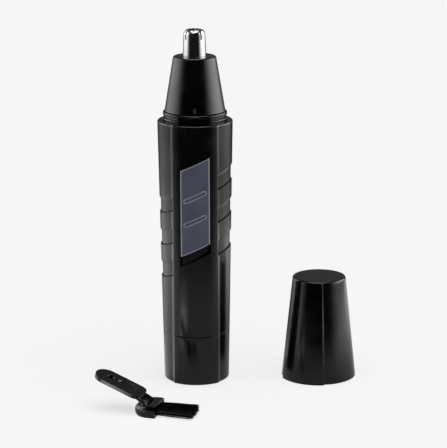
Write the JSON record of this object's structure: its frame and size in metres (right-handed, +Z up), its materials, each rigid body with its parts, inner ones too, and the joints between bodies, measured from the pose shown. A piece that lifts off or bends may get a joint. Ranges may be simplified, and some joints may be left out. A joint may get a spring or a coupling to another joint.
{
  "type": "nose hair trimmer",
  "caption": "Slim battery nose hair trimmer with slotted steel guard, cone head, sliding switch and ribbed grip, with a protective cap and a cleaning brush.",
  "frame": {"origin": "centre of the flat underside of the trimmer's base", "axes": "+Z up the trimmer's axis to the cutting head, -Y out of the front panel and its switch, +X to the right seen from the front"},
  "size_m": [0.0937, 0.0659, 0.1286],
  "materials": {
    "body_black": "glossy moulded black ABS, fine even surface",
    "cone_black": "satin-gloss moulded black ABS",
    "cap_black": "glossy moulded black ABS",
    "collar_black": "satin moulded black plastic",
    "button_grey": "satin blue-grey plastic with a polished bevel",
    "guard_steel": "polished stainless steel",
    "blade_steel": "ground stainless steel",
    "spring_steel": "drawn spring wire",
    "contact_nickel": "nickel-plated strip",
    "contact_copper": "phosphor-bronze strip",
    "bush_bronze": "sintered bronze",
    "winding_copper": "enamelled copper wire",
    "motor_zinc": "zinc-plated drawn steel",
    "shaft_steel": "ground steel",
    "magnet_ferrite": "dull grey ferrite",
    "laminations": "stacked steel laminations",
    "nylon_white": "natural nylon",
    "frame_grey": "matt dark grey moulding",
    "slider_grey": "matt grey acetal",
    "seal_rubber": "black nitrile rubber",
    "battery_zinc": "plated can",
    "battery_wrap": "plain printed film with no lettering",
    "battery_paper": "insulating washer",
    "battery_nub": "nickel-plated cap",
    "lead_red": "soft PVC",
    "lead_black": "soft PVC",
    "screw_steel": "zinc-plated screw",
    "brush_black": "satin moulded black plastic",
    "bristle_nylon": "fine black nylon filaments"
  },
  "bodies": {
    "base": {"base_shell": "body_black", "base_seal": "seal_rubber"},
    "core": {"contact_carrier": "frame_grey", "negative_contact": "contact_nickel", "battery_spring": "spring_steel"},
    "battery": {"battery_can": "battery_zinc", "battery_sleeve": "battery_wrap", "battery_washer": "battery_paper", "battery_cap": "battery_nub"},
    "housing": {"housing": "body_black", "neck_collar": "collar_black", "chassis": "frame_grey", "negative_rail": "contact_nickel", "positive_contact": "contact_nickel", "switch_contact": "contact_copper", "lead_positive": "lead_red", "lead_negative": "lead_black", "motor_can": "motor_zinc", "motor_magnets": "magnet_ferrite", "motor_end_bell": "nylon_white", "motor_bushes": "bush_bronze", "motor_brushes": "contact_copper", "motor_terminals": "contact_copper", "motor_clamp": "frame_grey", "clamp_screws": "screw_steel"},
    "switch": {"switch_button": "button_grey", "switch_slider": "slider_grey", "switch_wiper": "contact_copper"},
    "rotor": {"motor_shaft": "shaft_steel", "armature_core": "laminations", "armature_coils": "winding_copper", "commutator": "winding_copper", "drive_coupling": "nylon_white", "cutter_spring": "spring_steel"},
    "cutter": {"cutter_stem": "nylon_white", "cutter_blade": "blade_steel"},
    "head_core": {"guard_holder": "frame_grey", "cutter_guard": "guard_steel"},
    "head_shell": {"head_cone": "cone_black", "head_seal": "seal_rubber"},
    "cap": {"protective_cap": "cap_black"},
    "brush": {"brush_handle": "brush_black", "brush_bristles": "bristle_nylon"}
  },
  "joints": [
    {"name": "base_twist", "type": "hinge", "parent": "base", "child": "core", "pos_m": [0, 0, 0.0182], "axis": [0, 0, 1], "range_deg": [0, 30]},
    {"name": "housing_lift", "type": "slide", "parent": "core", "child": "housing", "axis": [0, 0, 1], "range_m": [0, 0.055]},
    {"name": "battery_press", "type": "slide", "parent": "core", "child": "battery", "axis": [0, 0, -1], "range_m": [0, 0.001], "stiffness_N_per_m": 800, "springref_m": -0.003, "deforming": ["battery_spring"]},
    {"name": "switch_slide", "type": "slide", "parent": "housing", "child": "switch", "axis": [0, 0.0177, -0.9998], "range_m": [0, 0.0034]},
    {"name": "rotor_spin", "type": "hinge", "parent": "housing", "child": "rotor", "pos_m": [0, 0, 0.075], "axis": [0, 0, 1], "continuous": true},
    {"name": "cutter_float", "type": "slide", "parent": "rotor", "child": "cutter", "axis": [0, 0, -1], "range_m": [0, 0.0008], "stiffness_N_per_m": 300, "springref_m": -0.002, "deforming": ["cutter_spring"]},
    {"name": "head_lift", "type": "slide", "parent": "housing", "child": "head_core", "axis": [0, 0, 1], "range_m": [0, 0.04]},
    {"name": "head_twist", "type": "hinge", "parent": "head_core", "child": "head_shell", "pos_m": [0, 0, 0.1], "axis": [0, 0, 1], "range_deg": [0, 30]},
    {"name": "cap_lift", "type": "slide", "parent": "base", "child": "cap", "axis": [0, 0, 1], "range_m": [0, 0.14]},
    {"name": "brush_lift", "type": "slide", "parent": "base", "child": "brush", "axis": [0, 0, 1], "range_m": [0, 0.14]}
  ]
}
